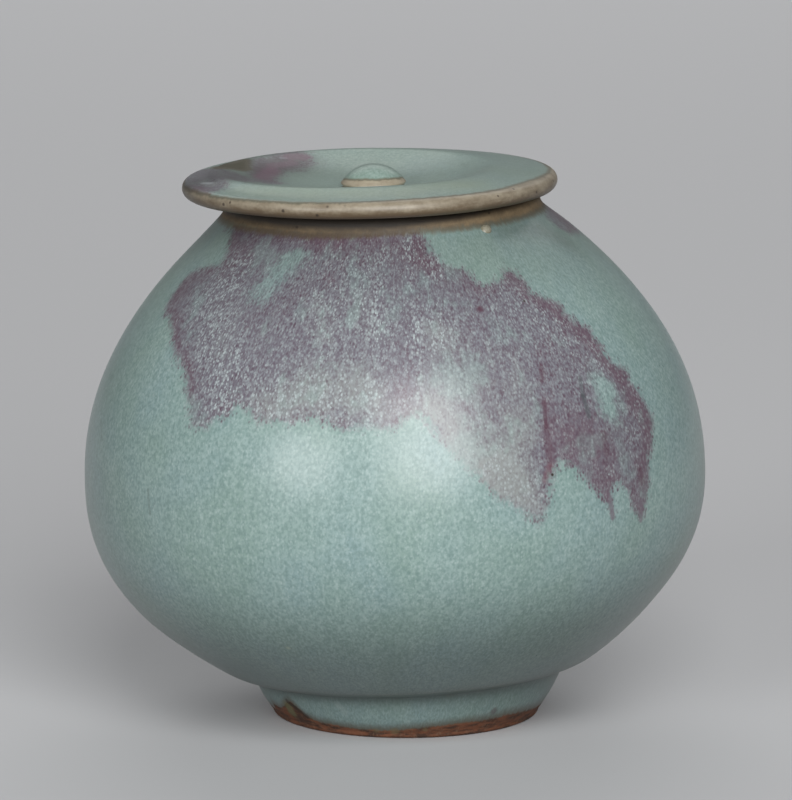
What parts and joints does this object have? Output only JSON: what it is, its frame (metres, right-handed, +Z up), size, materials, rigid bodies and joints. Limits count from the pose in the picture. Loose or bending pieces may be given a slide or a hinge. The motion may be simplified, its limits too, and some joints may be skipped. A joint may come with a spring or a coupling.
{
  "type": "lidded jar",
  "caption": "Small globular stoneware jar on a low foot ring, with a loose dished lid that overhangs the mouth and has a button knob.",
  "frame": {"origin": "middle of the jar's bounding box on the plane that its foot rests on", "axes": "+Z up; the jar leans about 2.6 degrees toward -X, and +X is to the right in the picture's view, which looks along +Y"},
  "size_m": [0.105, 0.105, 0.0939],
  "materials": {
    "jar_glaze": "satin blue-green glaze with a purple splash",
    "foot_clay": "blue-green glaze over the wall, bare red-brown clay on the resting edge",
    "lid_glaze": "satin blue-green glaze, thin and cream on the rolled edge",
    "ring_clay": "bare fired clay, matt",
    "knob_glaze": "satin blue-green glaze, cream on the ridge"
  },
  "bodies": {
    "jar": {"jar_body": "jar_glaze", "foot_ring": "foot_clay"},
    "lid": {"lid_dish": "lid_glaze", "lid_locating_ring": "ring_clay", "lid_knob": "knob_glaze"}
  },
  "joints": [
    {"name": "lid_lift", "type": "slide", "parent": "jar", "child": "lid", "axis": [0, 0, 1], "range_m": [0, 0.08]}
  ]
}
